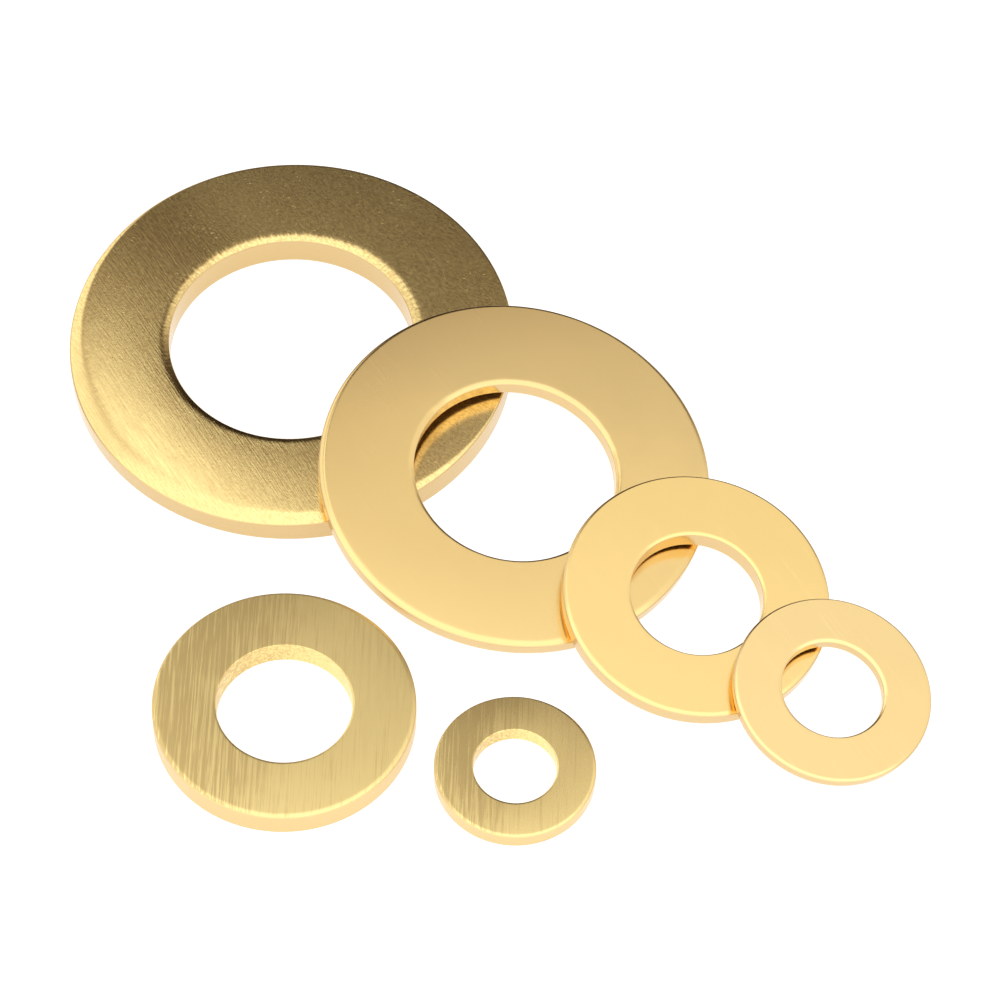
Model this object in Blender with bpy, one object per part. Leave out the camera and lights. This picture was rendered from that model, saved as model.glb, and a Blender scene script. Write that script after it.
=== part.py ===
"""A set of six loose brass flat washers, at real size, in metres, with +Z up.

Four washers lie in a row, and each smaller one leans on the rim of the washer
before it.  Two thicker washers lie flat in front of the row.  Each washer is one
ring of brass with broken edges, and nothing fastens one washer to another.

The table is the plane z = 0, and the origin is on it, under the middle of the set.
"""

import math

import bmesh
import bpy
import numpy as np
from mathutils import Matrix, Quaternion, Vector

MM = 0.001                  # one millimetre
GAP = 0.3 * MM              # air left where one washer rests on the next
FACETS = 72                 # flats around each ring
STEEPEST = math.radians(30)  # no washer of the set leans more than this
HALVINGS = 40               # steps of the search for an angle of lean
RIM_POINTS = 360            # points on a rim that a leaning washer is tested against
SMOOTH_BELOW = math.radians(20)  # faces that meet at less than this are shaded as one

# Outer diameter, bore, thickness, the width of the broken edges, and the centre of
# the lower face on the table, all in mm; then the finish, and the washer it leans on.
WASHERS = {
    "washer_m20": (37.0, 20.4, 2.8, 0.5, (-17.01, 13.93), "sanded_brass", None),
    "washer_m16": (32.05, 16.6, 1.55, 0.3, (1.82, 0.54), "polished_brass", "washer_m20"),
    "washer_m10_thin": (21.65, 10.8, 1.7, 0.3, (16.62, -10.44), "polished_brass", "washer_m16"),
    "washer_m8": (16.05, 8.3, 1.05, 0.25, (27.46, -18.54), "polished_brass", "washer_m10_thin"),
    "washer_m10_thick": (20.85, 10.8, 2.3, 0.2, (-15.65, -21.48), "brushed_brass", None),
    "washer_m6": (12.75, 6.6, 1.5, 0.15, (2.67, -26.06), "brushed_brass", None),
}

# Linear colour and roughness of each finish.
FINISHES = {
    "sanded_brass": ((0.70, 0.49, 0.21), 0.38),
    "polished_brass": ((0.86, 0.63, 0.29), 0.22),
    "brushed_brass": ((0.72, 0.53, 0.25), 0.34),
}


class Washer:
    """One washer's sizes in metres, its place on the table and its angle of lean."""

    def __init__(self, outer, bore, thick, edge, centre, finish, rests_on):
        self.radius = outer / 2 * MM
        self.bore_radius = bore / 2 * MM
        self.thick = thick * MM
        self.edge = edge * MM
        self.centre = Vector((centre[0] * MM, centre[1] * MM, 0.0))
        self.finish = finish
        self.rests_on = rests_on
        self.turn = Quaternion()
        self.height = 0.0

    def lean(self, towards, angle):
        """Tip the washer down in one direction, with its low side still on the table."""
        self.turn = Quaternion(Vector((0, 0, 1)).cross(towards), angle)
        self.height = (self.radius - self.edge) * math.sin(angle)

    def location(self):
        """Centre of the lower face."""
        return self.centre + Vector((0, 0, self.height))

    def matrix(self):
        """From the washer's own frame, with its lower face on z = 0, to the set's."""
        return Matrix.Translation(self.location()) @ self.turn.to_matrix().to_4x4()


def clear_scene():
    for item in list(bpy.data.objects):
        bpy.data.objects.remove(item, do_unlink=True)


def upper_rim(washer):
    """Points around the edge of the flat upper face, in the set's frame."""
    angles = np.linspace(0, math.tau, RIM_POINTS, endpoint=False)
    flat_radius = washer.radius - washer.edge
    rim = np.stack([flat_radius * np.cos(angles), flat_radius * np.sin(angles),
                    np.full_like(angles, washer.thick), np.ones_like(angles)])
    return (np.array(washer.matrix()) @ rim).T


def air_below(washer, points):
    """Least distance from the washer's lower face down to points that lie under it."""
    local = points @ np.array(washer.matrix().inverted()).T
    out = np.hypot(local[:, 0], local[:, 1])
    under = (out > washer.bore_radius) & (out < washer.radius)
    return -local[under, 2].max()


def lean_on(washer, base):
    """Lean a washer on its neighbour: low side on the table, high side on the rim."""
    away = (washer.centre - base.centre).normalized()
    rim = upper_rim(base)
    low, high = 0.0, STEEPEST
    for _ in range(HALVINGS):
        angle = (low + high) / 2
        washer.lean(away, angle)
        if air_below(washer, rim) < GAP:
            low = angle
        else:
            high = angle
    washer.lean(away, high)


def ring_outline(washer):
    """Corners of the ring's section as (radius, height), down the outer side first."""
    inner, outer = washer.bore_radius, washer.radius
    top, edge = washer.thick, washer.edge
    return [
        (outer - edge, top),
        (outer, top - edge),
        (outer, edge),
        (outer - edge, 0.0),
        (inner + edge, 0.0),
        (inner, edge),
        (inner, top - edge),
        (inner + edge, top),
    ]


def ring_mesh(name, washer):
    """Spin the section once around +Z into a closed ring."""
    ring = bmesh.new()
    corners = [ring.verts.new((radius, 0.0, height)) for radius, height in ring_outline(washer)]
    sides = [ring.edges.new((corners[i - 1], corners[i])) for i in range(len(corners))]
    bmesh.ops.spin(ring, geom=corners + sides, cent=(0, 0, 0), axis=(0, 0, 1),
                   angle=math.tau, steps=FACETS, use_merge=True)
    bmesh.ops.recalc_face_normals(ring, faces=ring.faces)
    mesh = bpy.data.meshes.new(name)
    ring.to_mesh(mesh)
    ring.free()
    mesh.shade_smooth()
    mesh.set_sharp_from_angle(angle=SMOOTH_BELOW)
    return mesh


def brass(finish):
    """The finish's material, made once."""
    if finish in bpy.data.materials:
        return bpy.data.materials[finish]
    colour, roughness = FINISHES[finish]
    material = bpy.data.materials.new(finish)
    material.use_nodes = True
    shader = material.node_tree.nodes["Principled BSDF"]
    shader.inputs["Base Color"].default_value = (*colour, 1.0)
    shader.inputs["Metallic"].default_value = 1.0
    shader.inputs["Roughness"].default_value = roughness
    return material


def place_washer(name, washer, table):
    """Put one ring in the scene, leaning as it should."""
    ring = bpy.data.objects.new(name, ring_mesh(name, washer))
    bpy.context.scene.collection.objects.link(ring)
    ring.data.materials.append(brass(washer.finish))
    ring.parent = table
    ring.location = washer.location()
    ring.rotation_mode = "QUATERNION"
    ring.rotation_quaternion = washer.turn


clear_scene()
table = bpy.data.objects.new("table_top", None)
bpy.context.scene.collection.objects.link(table)

washers = {name: Washer(*sizes) for name, sizes in WASHERS.items()}
for name, washer in washers.items():
    if washer.rests_on:
        lean_on(washer, washers[washer.rests_on])
    place_washer(name, washer, table)
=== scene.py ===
"""Looks for a set of six loose brass flat washers.

Four of them lie in a row, each one leaning on the rim of the washer before it, and
two thicker ones lie flat in front.  The sizes, places and angles of lean are read
from the fixed frame; this file adds the true edges, the grain and the polish.
"""

import math

import bpy
import numpy as np
from mathutils import Matrix, Vector


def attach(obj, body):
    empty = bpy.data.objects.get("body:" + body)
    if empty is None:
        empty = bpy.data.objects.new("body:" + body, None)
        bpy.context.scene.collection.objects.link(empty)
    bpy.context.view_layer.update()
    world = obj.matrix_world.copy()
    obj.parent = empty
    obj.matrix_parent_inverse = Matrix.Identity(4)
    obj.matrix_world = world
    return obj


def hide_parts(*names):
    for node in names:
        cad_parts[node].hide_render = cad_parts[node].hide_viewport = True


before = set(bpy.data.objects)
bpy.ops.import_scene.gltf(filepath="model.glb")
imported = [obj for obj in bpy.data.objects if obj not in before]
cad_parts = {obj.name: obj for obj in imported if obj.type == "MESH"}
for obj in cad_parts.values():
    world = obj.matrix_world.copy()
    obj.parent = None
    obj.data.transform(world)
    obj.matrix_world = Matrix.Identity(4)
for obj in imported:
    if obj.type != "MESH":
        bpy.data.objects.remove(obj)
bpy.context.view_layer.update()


# ---------------------------------------------------------------------------
# The view: a long lens, well above the table and rolled a little, looking at
# the middle of the set.
# ---------------------------------------------------------------------------

MM = 0.001                  # one millimetre, in the metres of the frame

VIEW_TARGET = Vector((0.80, 0.06, 0.0)) * MM
VIEW_DISTANCE = 344.5 * MM
VIEW_ELEVATION = math.radians(55.64)
VIEW_ROLL = math.radians(1.88)
VIEW_LENS = 151.2           # focal length, on a sensor 36 mm wide
VIEW_SENSOR = 36.0
VIEW_NEAREST = 10 * MM      # nothing nearer to the lens than this is drawn

lens = bpy.data.cameras.new("view")
lens.sensor_width = VIEW_SENSOR
lens.lens = VIEW_LENS
lens.clip_start = VIEW_NEAREST
camera = bpy.data.objects.new("view", lens)
bpy.context.scene.collection.objects.link(camera)
tip_back = Matrix.Rotation(math.pi / 2 - VIEW_ELEVATION, 4, "X")
camera.matrix_world = (
    Matrix.Translation(VIEW_TARGET) @ tip_back
    @ Matrix.Rotation(VIEW_ROLL, 4, "Z") @ Matrix.Translation((0, 0, VIEW_DISTANCE))
)
bpy.context.scene.camera = camera
bpy.context.scene.view_settings.view_transform = "Standard"


# ---------------------------------------------------------------------------
# The studio: a white light table, two large soft boxes at the front left and the
# front right, a smaller one behind on the left, and five small lamps behind.  A band
# of light runs all round near the floor, and the walls above it are dark.
# ---------------------------------------------------------------------------

TABLE_HALF = 1.5            # half the table's width, in metres
TABLE_GLOW = 0.86
TABLE_WHITE = 0.35
TABLE_ROUGH = 0.9

table = bpy.data.objects.new("light_table", bpy.data.meshes.new("light_table"))
table.data.from_pydata(
    [(-TABLE_HALF, -TABLE_HALF, 0), (TABLE_HALF, -TABLE_HALF, 0),
     (TABLE_HALF, TABLE_HALF, 0), (-TABLE_HALF, TABLE_HALF, 0)], [], [(0, 1, 2, 3)])
bpy.context.scene.collection.objects.link(table)

opal = bpy.data.materials.new("opal_acrylic")
opal.use_nodes = True
shader = opal.node_tree.nodes["Principled BSDF"]
shader.inputs["Base Color"].default_value = (TABLE_WHITE, TABLE_WHITE, TABLE_WHITE, 1)
shader.inputs["Roughness"].default_value = TABLE_ROUGH
shader.inputs["Specular IOR Level"].default_value = 0.0
shader.inputs["Emission Color"].default_value = (1, 1, 1, 1)
shader.inputs["Emission Strength"].default_value = TABLE_GLOW
table.data.materials.append(opal)

# Each soft box: the way it shines from, how near a ray must point to it to be half
# lit, how soft its edge is, and its brightness.
SOFT_BOXES = (
    ((-0.221, -0.689, 0.691), 0.465, 0.058, 1.45),
    ((0.561, -0.593, 0.578), 0.249, 0.052, 0.99),
    ((-0.62, 0.58, 0.53), 0.925, 0.02, 1.25),
)
# Each lamp: the way it shines from, and its brightness.
LAMPS = (((-0.171, 0.510, 0.843), 2.5), ((-0.125, 0.443, 0.888), 0.9),
         ((-0.235, 0.430, 0.872), 1.2), ((-0.215, 0.348, 0.912), 0.45),
         ((-0.320, 0.400, 0.860), 0.4))
LAMP_SPREAD = 0.047         # how wide a lamp's glow is, in radians
SOFT_EDGE = 3               # a soft box fades over this many softnesses each way
WALLS = 0.007               # brightness of the dark walls
BAND = 0.55                 # brightness of the band near the floor
BAND_FADES = 0.26           # sine of the height at which the band starts to fade
BAND_ENDS = 0.40            # sine of the height at which it has gone
BRIGHTEST = 1.5
WARMTH = (0.87, 1.0, 1.09)  # powers of the brightness for red, green and blue

room = bpy.data.worlds.new("studio")
room.use_nodes = True
bpy.context.scene.world = room
light = room.node_tree
nodes, links = light.nodes, light.links
nodes.clear()
direction = nodes.new("ShaderNodeTexCoord").outputs["Generated"]


def maths(tree, operation, *terms):
    """One Math node of a tree; each term is a number or a socket."""
    node = tree.nodes.new("ShaderNodeMath")
    node.operation = operation
    for socket, term in zip(node.inputs, terms):
        if isinstance(term, (int, float)):
            socket.default_value = term
        else:
            tree.links.new(term, socket)
    return node.outputs["Value"]


def remap(tree, value, low, high, to_low, to_high):
    """Map low..high smoothly to to_low..to_high, held at the ends."""
    node = tree.nodes.new("ShaderNodeMapRange")
    node.interpolation_type = "SMOOTHSTEP"
    for name, number in (("From Min", low), ("From Max", high),
                         ("To Min", to_low), ("To Max", to_high)):
        node.inputs[name].default_value = number
    tree.links.new(value, node.inputs["Value"])
    return node.outputs["Result"]


def along(way):
    """How nearly a ray points one way: the cosine of the angle between them."""
    dot = nodes.new("ShaderNodeVectorMath")
    dot.operation = "DOT_PRODUCT"
    dot.inputs[1].default_value = way
    links.new(direction, dot.inputs[0])
    return dot.outputs["Value"]


brightness = remap(light, along((0, 0, 1)), BAND_FADES, BAND_ENDS, BAND, WALLS)
for way, bright in LAMPS:
    off = maths(light, "DIVIDE", maths(light, "SUBTRACT", along(way), 1.0), LAMP_SPREAD ** 2)
    brightness = maths(light, "MULTIPLY_ADD", maths(light, "EXPONENT", off), bright, brightness)
for way, edge, softness, bright in SOFT_BOXES:
    box = remap(light, along(way), edge - SOFT_EDGE * softness, edge + SOFT_EDGE * softness,
                0.0, bright)
    brightness = maths(light, "ADD", brightness, box)
brightness = maths(light, "MINIMUM", brightness, BRIGHTEST)
tinted = nodes.new("ShaderNodeCombineColor")
for channel, power in zip(tinted.inputs, WARMTH):
    links.new(maths(light, "POWER", brightness, power), channel)
lit = nodes.new("ShaderNodeBackground")
links.new(tinted.outputs["Color"], lit.inputs["Color"])
white = nodes.new("ShaderNodeBackground")
white.inputs["Color"].default_value = (1, 1, 1, 1)
which = nodes.new("ShaderNodeLightPath")
choose = nodes.new("ShaderNodeMixShader")
links.new(which.outputs["Is Camera Ray"], choose.inputs["Fac"])
links.new(lit.outputs["Background"], choose.inputs[1])
links.new(white.outputs["Background"], choose.inputs[2])
out = nodes.new("ShaderNodeOutputWorld")
links.new(choose.outputs["Shader"], out.inputs["Surface"])


# ---------------------------------------------------------------------------
# The large washer: stamped brass plate, linished on a belt and then tumbled, so
# its face keeps the belt's slanting scratches and its edges are rolled over.
# ---------------------------------------------------------------------------

SKIN_INSET = 0.01 * MM      # keeps the round skin inside the box of the faceted solid
ARC_STEPS = 8               # points along each upper corner, wall, lower corner and base
WALL_STEPS = 12
FOOT_STEPS = 6
BASE_STEPS = 8


class Ring:
    """Where one washer is, and its sizes, read from the corners of its CAD node."""

    def __init__(self, node):
        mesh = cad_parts[node].data
        corners = np.empty(len(mesh.vertices) * 3)
        mesh.vertices.foreach_get("co", corners)
        corners = np.unique(np.round(corners.reshape(-1, 3), 7), axis=0)
        middle = corners.mean(axis=0)
        axis = np.linalg.svd(corners - middle)[2][2]
        axis = axis * np.sign(axis[2])
        height = (corners - middle) @ axis
        out = np.linalg.norm(corners - middle - np.outer(height, axis), axis=1)
        across = np.cross((0.0, 1.0, 0.0), axis)
        across = across / np.linalg.norm(across)
        self.node = node
        self.thick = height.max() - height.min()
        self.outer = out.max()
        self.bore = out.min()
        self.seat = middle - axis * self.thick / 2
        self.turn = np.stack([across, np.cross(axis, across), axis])

    def place(self, local):
        """From the washer's own frame, lower face at height 0, to the set's frame."""
        return self.seat + local @ self.turn


def arc(centre_out, centre_up, radius, start, stop, steps):
    """Points round a corner: centre plus radius times cosine and sine of the angle,
    with the angle going evenly from start to stop, for every turn at once."""
    share = np.linspace(0, 1, steps)[:, None]
    angle = start + (stop - start) * share
    return centre_out + radius * np.cos(angle), centre_up + radius * np.sin(angle)


def wander(angle, seed, waves, falloff=1.0):
    """A smooth closed wobble: a sum of sines of 1 to `waves` turns, each with a random
    phase and a height that falls with its number, scaled to reach 1."""
    chance = np.random.default_rng(seed)
    turns = np.arange(1, waves + 1)[:, None]
    phases = chance.uniform(0, math.tau, (waves, 1))
    heights = chance.uniform(0.4, 1.0, (waves, 1)) / turns ** falloff
    wobble = (heights * np.sin(turns * angle + phases)).sum(axis=0)
    return wobble / np.abs(wobble).max()


def ramp(distance, depth, width, softness):
    """How far the face falls at a distance from a broken edge: depth times softness
    times the logarithm of one plus e to the power of the share of the width that is
    left, over softness."""
    left = (1 - distance / width) / softness
    return depth * softness * np.logaddexp(0, left)


def ring_surface(ring, angle, look):
    """The closed skin of a washer on a grid: section point by angle round the axis.

    The upper face is not quite flat.  It falls by radius times the slope of its tilt
    that way, and by half the width times the square of the share of the width times
    its slope at the rim.  That slope is `crown` plus `side` times the cosine of the
    angle from `side_way`.  Near each edge it also falls by a broken edge: a straight
    ramp of a depth and a width, softened where it meets the face.  The whole face is
    set so that, before its edges are broken, its highest point is at the washer's
    thickness.  A small arc joins it to each wall.  The lower part of the outer wall
    draws in by `draft`, below the line where the punch tore the plate.  Plain arcs join
    both walls to the flat lower face.
    """
    outer = ring.outer - SKIN_INSET
    width = outer - ring.bore
    corner = look["corner"] * MM
    under = look["under"] * MM
    bore_under = look["bore_under"] * MM
    out_depth, out_width, out_soft = look["rim_roll"](angle)
    in_depth, in_width, in_soft = look["bore_roll"](angle)

    share = (1 - np.cos(np.linspace(0, math.pi, look["face_steps"])))[:, None] / 2
    radius = ring.bore + corner + (width - 2 * corner) * share
    from_rim = outer - radius
    from_bore = radius - ring.bore
    tilt_x, tilt_y = np.tan(np.radians(look["tilt"]))
    slope = math.radians(look["crown"]) + look["side"] * np.cos(
        angle - math.radians(look["side_way"]))
    fall = (radius * (tilt_x * np.cos(angle) + tilt_y * np.sin(angle))
            + slope * from_bore ** 2 / (2 * width))
    rim_roll = ramp(from_rim / MM, out_depth, out_width, out_soft) * MM
    bore_roll = ramp(from_bore / MM, in_depth, in_width, in_soft) * MM
    face_up = ring.thick - (fall - fall.min()) - rim_roll - bore_roll
    radius = np.broadcast_to(radius, face_up.shape)

    rim_fall = np.arctan(out_depth / out_width)
    bore_fall = np.arctan(in_depth / in_width)
    rim_arc = arc(outer - corner, face_up[-1] - corner * np.cos(rim_fall),
                  corner, math.pi / 2 - rim_fall, 0 * rim_fall, ARC_STEPS)
    wall = np.linspace(0, 1, WALL_STEPS)[1:-1, None]
    tear = np.clip((wall - look["tear"]) / (1 - look["tear"]), 0, 1)
    draft = look["draft"] * MM
    wall_out = outer - draft * tear + 0 * angle
    wall_up = rim_arc[1][-1] + (under - rim_arc[1][-1]) * wall
    foot_arc = arc(outer - draft - under, under, under, 0, -math.pi / 2 + 0 * angle,
                   FOOT_STEPS)
    base = np.linspace(0, 1, BASE_STEPS)[1:-1, None]
    base_out = foot_arc[0][-1] + (ring.bore + bore_under - foot_arc[0][-1]) * base
    bore_foot = arc(ring.bore + bore_under, bore_under, bore_under,
                    -math.pi / 2, -math.pi + 0 * angle, FOOT_STEPS)
    bore_top = face_up[0] - corner * np.cos(bore_fall)
    bore_out = ring.bore + 0 * wall + 0 * angle
    bore_up = bore_under + (bore_top - bore_under) * wall
    bore_arc = arc(ring.bore + corner, bore_top, corner,
                   math.pi + 0 * bore_fall, math.pi / 2 + bore_fall, ARC_STEPS)

    out = np.concatenate([radius[1:-1], rim_arc[0], wall_out, foot_arc[0], base_out,
                          bore_foot[0], bore_out, bore_arc[0]])
    up = np.concatenate([face_up[1:-1], rim_arc[1], wall_up, foot_arc[1], 0 * base_out,
                         bore_foot[1], bore_up, bore_arc[1]])
    return out, up


def ring_mesh(ring, look):
    """One closed mesh for a washer: the grid of its skin, wrapped both ways."""
    angle = np.linspace(0, math.tau, look["turns"], endpoint=False)
    out, up = ring_surface(ring, angle, look)
    local = np.stack([out * np.cos(angle), out * np.sin(angle), up], axis=-1)
    rows, turns = out.shape
    row = np.arange(rows)[:, None]
    turn = np.arange(turns)
    next_row, next_turn = (row + 1) % rows, (turn + 1) % turns
    quads = np.stack([row * turns + turn, next_row * turns + turn,
                      next_row * turns + next_turn, row * turns + next_turn], axis=-1)
    mesh = bpy.data.meshes.new(ring.node + "_skin")
    mesh.from_pydata(ring.place(local.reshape(-1, 3)), [], quads.reshape(-1, 4))
    mesh.shade_smooth()
    return mesh


class Finish:
    """A brass material being built, with patterns in the washer's own millimetres."""

    # The outer wall's colour starts, and is full, this many mm in from the rim; a
    # punched bore's colour is full, and ends, this many mm out from the bore.
    RIM_STARTS, RIM_FULL = 0.14, 0.07
    BORE_FULL, BORE_ENDS = 0.02, 0.08

    def __init__(self, name, ring):
        self.material = bpy.data.materials.new(name)
        self.material.use_nodes = True
        self.tree = self.material.node_tree
        self.nodes = self.tree.nodes
        self.links = self.tree.links
        to_own = Matrix(ring.turn.tolist())
        self.own = self.mapping(self.nodes.new("ShaderNodeTexCoord").outputs["Object"],
                                -(to_own @ Vector(ring.seat)) / MM,
                                to_own.to_euler(), (1 / MM,) * 3)
        self.ring = ring

    def mapping(self, vector, move, turn, scale):
        """Scale, then turn, then move a pattern's coordinates."""
        node = self.nodes.new("ShaderNodeMapping")
        node.inputs["Location"].default_value = move
        node.inputs["Rotation"].default_value = turn
        node.inputs["Scale"].default_value = scale
        self.links.new(vector, node.inputs["Vector"])
        return node.outputs["Vector"]

    def maths(self, operation, *terms):
        """One Math node of this brass; each term is a number or a socket."""
        return maths(self.tree, operation, *terms)

    def remap(self, value, low, high, to_low, to_high):
        """Map low..high smoothly to to_low..to_high in this brass, held at the ends."""
        return remap(self.tree, value, low, high, to_low, to_high)

    def swing(self, pattern, amount, start):
        """Start, plus an amount times how far a pattern is above its middle of one half."""
        return self.maths("MULTIPLY_ADD", self.maths("SUBTRACT", pattern, 0.5), amount, start)

    def noise(self, length, breadth, way, detail, roughness=0.5, at=0.0):
        """Noise whose blots are `length` mm long one way and `breadth` mm across."""
        turned = self.mapping(self.own, (at, at, at), (0, 0, -math.radians(way)), (1, 1, 1))
        laid = self.mapping(turned, (0, 0, 0), (0, 0, 0), (1 / length, 1 / breadth, 1 / breadth))
        node = self.nodes.new("ShaderNodeTexNoise")
        node.inputs["Scale"].default_value = 1.0
        node.inputs["Detail"].default_value = detail
        node.inputs["Roughness"].default_value = roughness
        self.links.new(laid, node.inputs["Vector"])
        return node.outputs["Fac"]

    def towards(self, way):
        """Distance in mm from the axis towards one side of the washer."""
        turned = self.mapping(self.own, (0, 0, 0), (0, 0, -math.radians(way)), (1, 1, 1))
        split = self.nodes.new("ShaderNodeSeparateXYZ")
        self.links.new(turned, split.inputs["Vector"])
        return split.outputs["X"]

    def distance(self, x=0.0, y=0.0):
        """Distance in mm, in plan, from a spot on the washer or from its axis."""
        flat = self.mapping(self.own, (-x, -y, 0), (0, 0, 0), (1, 1, 0))
        length = self.nodes.new("ShaderNodeVectorMath")
        length.operation = "LENGTH"
        self.links.new(flat, length.inputs[0])
        return length.outputs["Value"]

    def finish(self, dull, bright, wall, punched, tone, rough, height, depth_mm):
        """Colour from dull to bright by tone, with the outer wall, and the wall of a
        punched bore, in their own colour; roughness; and bump from height."""
        shader = self.nodes["Principled BSDF"]
        shader.inputs["Metallic"].default_value = 1.0
        mix = self.nodes.new("ShaderNodeMix")
        mix.data_type = "RGBA"
        mix.inputs["A"].default_value = (*dull, 1.0)
        mix.inputs["B"].default_value = (*bright, 1.0)
        self.links.new(tone, mix.inputs["Factor"])
        edge = self.nodes.new("ShaderNodeMix")
        edge.data_type = "RGBA"
        edge.inputs["B"].default_value = (*wall, 1.0)
        outer, bore = self.ring.outer / MM, self.ring.bore / MM
        walls = self.remap(self.distance(), outer - self.RIM_STARTS,
                           outer - self.RIM_FULL, 0.0, 1.0)
        if punched:
            walls = self.maths("MAXIMUM", walls, self.remap(
                self.distance(), bore + self.BORE_FULL, bore + self.BORE_ENDS, 1.0, 0.0))
        self.links.new(walls, edge.inputs["Factor"])
        self.links.new(mix.outputs["Result"], edge.inputs["A"])
        self.links.new(edge.outputs["Result"], shader.inputs["Base Color"])
        self.links.new(rough, shader.inputs["Roughness"])
        bump = self.nodes.new("ShaderNodeBump")
        bump.inputs["Distance"].default_value = depth_mm * MM
        self.links.new(height, bump.inputs["Height"])
        self.links.new(bump.outputs["Normal"], shader.inputs["Normal"])
        return self.material


def put_in_place(ring, mesh, material, body):
    """Put the finished washer in place of its CAD node."""
    mesh.materials.append(material)
    piece = bpy.data.objects.new(ring.node + "_brass", mesh)
    bpy.context.scene.collection.objects.link(piece)
    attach(piece, body)
    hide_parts(ring.node)
    return piece


LINISHED_SIDE = 225         # degrees round from +X, where the belt bore hardest
FIBRES = 240                # waves round an edge where the metal tore


def large_rim(angle):
    """The rolled outer edge, in mm: a hairline at the back, widest and smoothest where
    the belt bore hardest, and a little ragged elsewhere."""
    leaning = np.clip(np.cos(angle - math.radians(LINISHED_SIDE + 10)) + 0.18, 0, 1)
    hardest = np.exp(6 * (np.cos(angle - math.radians(LINISHED_SIDE)) - 1))
    depth = 0.05 + 0.22 * leaning + 0.12 * hardest
    width = 0.14 + 0.75 * leaning + 0.60 * hardest
    ragged = 0.06 * (1 - hardest) * wander(angle, 23, FIBRES, 0)
    return depth, width * (1 + 0.05 * wander(angle, 21, 12) + ragged), 0.12 + 0.12 * hardest


def large_bore(angle):
    """The rolled edge of the bore, in mm: slighter at the front, and ragged at the
    back like torn fibres."""
    front = np.clip(-np.sin(angle), 0, 1)
    depth = 0.15 - 0.09 * front + 0.01 * wander(angle, 12, 9)
    torn = 0.04 + 0.20 * np.clip(np.sin(angle), 0, 1)
    width = (0.58 - 0.30 * front) * (1 + 0.10 * wander(angle, 22, 12)
                                     + torn * wander(angle, 24, FIBRES, 0))
    return depth, width, 0.20 + 0.15 * front


# How a skin is laid out: points round and across it, lengths in mm and angles in
# degrees; `side` is a slope, and `tear` the share of the wall above the torn part.
LARGE_LOOK = {
    "turns": 720,
    "face_steps": 80,
    "corner": 0.10,
    "under": 0.12,
    "bore_under": 0.12,
    "tilt": (-0.35, -0.35),
    "crown": 2.45,
    "side": 0.032,
    "side_way": 235,
    "rim_roll": large_rim,
    "bore_roll": large_bore,
    "draft": 0.03,
    "tear": 0.35,
}
LARGE_DULL = (0.72, 0.485, 0.19)
LARGE_BRIGHT = (1.0, 0.755, 0.31)
LARGE_WALL = (0.68, 0.48, 0.225)
LARGE_BUMP = 0.0011         # mm
BELT_WAY = -57              # the way the belt ran, in degrees round from +X
DARK_REFLECTION_AT = (-8.5, 6.0)     # middle of the painted dark reflection, a duller patch, in mm from the axis

large = Ring("washer_m20")
skin = Finish("linished_brass", large)
bore = large.bore / MM
fine = skin.noise(length=2.2, breadth=0.12, way=BELT_WAY, detail=3, roughness=0.6)
coarse = skin.noise(length=14.0, breadth=0.5, way=BELT_WAY, detail=2, at=40.0)
grit = skin.noise(length=0.30, breadth=0.18, way=BELT_WAY + 20, detail=2, roughness=0.6)
film = skin.noise(length=6.0, breadth=5.0, way=0, detail=3)
nicks = skin.remap(skin.noise(length=0.34, breadth=0.20, way=30, detail=0, at=7.0),
                   0.80, 0.86, 0.0, 1.0)
worn = skin.remap(skin.towards(LINISHED_SIDE), -10.0, 8.0, 0.0, 1.0)
# On the large washer this is wear only: the grit is rubbed out near the rim where the belt bore
# hardest.
rubbed_and_painted_light = skin.remap(skin.towards(LINISHED_SIDE), 10.0, 16.0, 1.0, 0.25)
by_bore = skin.remap(skin.distance(), bore + 0.3, bore + 1.5, 2.2, 1.0)
# Tone: painted dark reflection as a dull patch, then tarnish, grit, belt scratches and bright
# nicks over it.
tone = skin.remap(skin.distance(*DARK_REFLECTION_AT), 2.0, 10.0, 0.50, 0.66)
tone = skin.swing(film, 0.5, tone)
tone = skin.swing(grit, skin.maths("MULTIPLY", rubbed_and_painted_light, 2.6), tone)
tone = skin.swing(fine, skin.remap(worn, 0.0, 1.0, 0.6, 1.4), tone)
tone = skin.maths("MAXIMUM", tone, nicks)
# Height: scratches and grit, deeper by the bore and rubbed out where the belt bore
# hardest, then wide belt lines and the nicks.
scratches = skin.maths("MULTIPLY", skin.remap(fine, 0.35, 0.65, 0.0, 1.0),
                       skin.remap(worn, 0.0, 1.0, 0.35, 1.1))
surface = skin.maths("MULTIPLY_ADD", grit, 1.4, scratches)
surface = skin.maths("MULTIPLY", surface, skin.maths("MULTIPLY", by_bore, rubbed_and_painted_light))
surface = skin.maths("ADD", coarse, surface)
surface = skin.maths("MULTIPLY_ADD", nicks, -4.0, surface)
rough = skin.maths("MULTIPLY_ADD", fine, -0.08, skin.remap(worn, 0.0, 0.7, 0.265, 0.21))
linished = skin.finish(LARGE_DULL, LARGE_BRIGHT, LARGE_WALL, True, tone, rough, surface,
                       LARGE_BUMP)
put_in_place(large, ring_mesh(large, LARGE_LOOK), linished, "m20")


# ---------------------------------------------------------------------------
# The three washers that lean on one another: stamped, with their edges broken,
# and satin polished all over.
# ---------------------------------------------------------------------------

def broken_edge(depth, width, seed, slight_way):
    """A broken edge in mm, much slighter on the side that its angle names."""
    def edge(angle):
        share = 1 - 0.7 * np.maximum(np.cos(angle - math.radians(slight_way)), 0)
        return (depth * share * (1 + 0.06 * wander(angle, seed, 9)),
                width * share * (1 + 0.08 * wander(angle, seed + 1, 40, 0.3)), 0.12)
    return edge


CUT_WALL = (0.73, 0.52, 0.25)
SATIN_ROUGH = (0.20, 0.16)  # where the mist is thin and where it is thick
SATIN_BUMP = 0.0005         # mm


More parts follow.
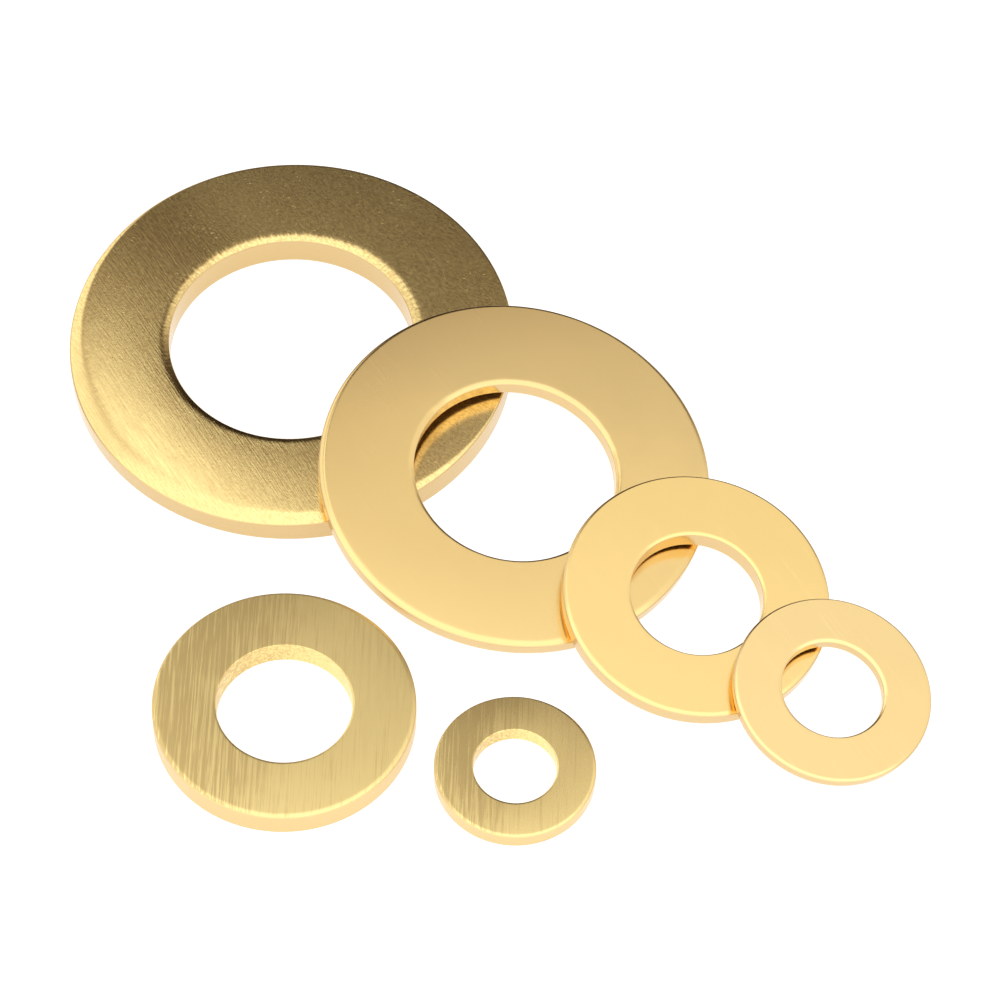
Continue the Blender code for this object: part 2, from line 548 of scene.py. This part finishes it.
def polished_look(rim, bore, tilt, crown):
    """The shape of a polished washer, from its two edges and how its face lies."""
    return {
        "turns": 512,
        "face_steps": 64,
        "corner": 0.06,
        "under": 0.33,
        "bore_under": 0.06,
        "tilt": tilt,
        "crown": crown,
        "side": 0.0,
        "side_way": 0,
        "rim_roll": broken_edge(*rim, 90),
        "bore_roll": broken_edge(*bore, 270),
        "draft": 0.015,
        "tear": 0.4,
    }


# Node, body, how its face and edges lie, and dull and bright colour.
POLISHED = (
    ("washer_m16", "m16",
     polished_look((0.15, 0.40, 31), (0.13, 0.36, 33), (-0.35, 0.40), 1.5),
     (0.83, 0.595, 0.255), (0.91, 0.645, 0.265)),
    ("washer_m10_thin", "m10_thin",
     polished_look((0.11, 0.27, 41), (0.09, 0.22, 43), (0, -0.4), 0.2),
     (0.95, 0.68, 0.265), (0.98, 0.70, 0.28)),
    ("washer_m8", "m8",
     polished_look((0.09, 0.23, 51), (0.09, 0.26, 53), (0.35, 0.50), 0.1),
     (0.95, 0.69, 0.31), (0.98, 0.705, 0.315)),
)
PAINTED_LIGHT_SIDE = 260            # degrees round from +X, the front, where the face is painted brightest: painted light

for node, body, look, dull, bright in POLISHED:
    ring = Ring(node)
    skin = Finish("satin_" + body, ring)
    mist = skin.noise(length=4.0, breadth=3.0, way=20, detail=4)
    haze = skin.noise(length=0.3, breadth=0.14, way=-40, detail=3)
    hairs = skin.noise(length=9.0, breadth=0.10, way=-52, detail=2)
    reach = ring.outer / MM
    # Painted light: the face's colour runs from dull at the back to bright at the front, with a
    # random mist of tone over it.
    rubbed_and_painted_light = skin.remap(skin.towards(PAINTED_LIGHT_SIDE), -0.7 * reach, 0.1 * reach, 0.0, 1.0)
    tone = skin.remap(skin.swing(mist, 0.5, rubbed_and_painted_light), 0.0, 1.0, 0.0, 1.0)
    surface = skin.maths("ADD", haze, skin.remap(hairs, 0.62, 0.72, 0.0, 4.0))
    satin = skin.finish(dull, bright, CUT_WALL, True, tone,
                        skin.remap(mist, 0.3, 0.7, *SATIN_ROUGH), surface, SATIN_BUMP)
    put_in_place(ring, ring_mesh(ring, look), satin, body)


# ---------------------------------------------------------------------------
# The two washers that lie flat on their own: turned from bar, faced flat, and
# brushed in straight lines.
# ---------------------------------------------------------------------------

def brushed_look(rim, bore, tilt):
    """The shape of a brushed washer, from its two edges and how its face lies."""
    return {
        "turns": 512,
        "face_steps": 64,
        "corner": 0.07,
        "under": 0.06,
        "bore_under": 0.06,
        "tilt": tilt,
        "crown": 2.15,
        "side": 0.0,
        "side_way": 0,
        "rim_roll": broken_edge(*rim, 110),
        "bore_roll": broken_edge(*bore, 90),
        "draft": 0.0,
        "tear": 0.5,
    }


# Node, body, how its face and edges lie, and roughness of its dull and bright lines.
BRUSHED = (
    ("washer_m10_thick", "m10_thick",
     brushed_look((0.10, 0.33, 61), (0.05, 0.14, 63), (0.70, 0.14)), (0.40, 0.32)),
    ("washer_m6", "m6",
     brushed_look((0.07, 0.22, 71), (0.04, 0.12, 73), (0.70, -0.70)), (0.30, 0.24)),
)
BRUSHED_DULL = (0.70, 0.50, 0.20)
BRUSHED_BRIGHT = (1.0, 0.755, 0.315)
TURNED_WALL = (0.80, 0.58, 0.27)
BRUSH_WAY = 90              # the way the brush ran, in degrees round from +X
BRUSHED_BUMP = 0.0012       # mm

for node, body, look, rough in BRUSHED:
    ring = Ring(node)
    skin = Finish("brushed_" + body, ring)
    lines = skin.noise(length=8.0, breadth=0.20, way=BRUSH_WAY, detail=4, roughness=0.65)
    bands = skin.noise(length=16.0, breadth=0.9, way=BRUSH_WAY, detail=2)
    mist = skin.noise(length=3.0, breadth=2.0, way=0, detail=3)
    reach = ring.outer / MM
    # Painted light: the face runs from dull at the left to bright at the right; the brush lines
    # show strongest on the dull side.
    painted_light_and_brush_side = skin.remap(skin.towards(-10), -reach, 0.7 * reach, 0.0, 1.0)
    tone = skin.swing(lines, skin.remap(painted_light_and_brush_side, 0.0, 0.8, 6.0, 2.4),
                      skin.remap(painted_light_and_brush_side, 0.0, 1.0, 0.15, 0.9))
    tone = skin.remap(skin.swing(mist, 0.4, tone), 0.0, 1.0, 0.0, 1.0)
    surface = skin.maths("MULTIPLY_ADD", bands, 1.5, lines)
    brushed = skin.finish(BRUSHED_DULL, BRUSHED_BRIGHT, TURNED_WALL, False, tone,
                          skin.remap(lines, 0.3, 0.7, *rough), surface, BRUSHED_BUMP)
    put_in_place(ring, ring_mesh(ring, look), brushed, body)
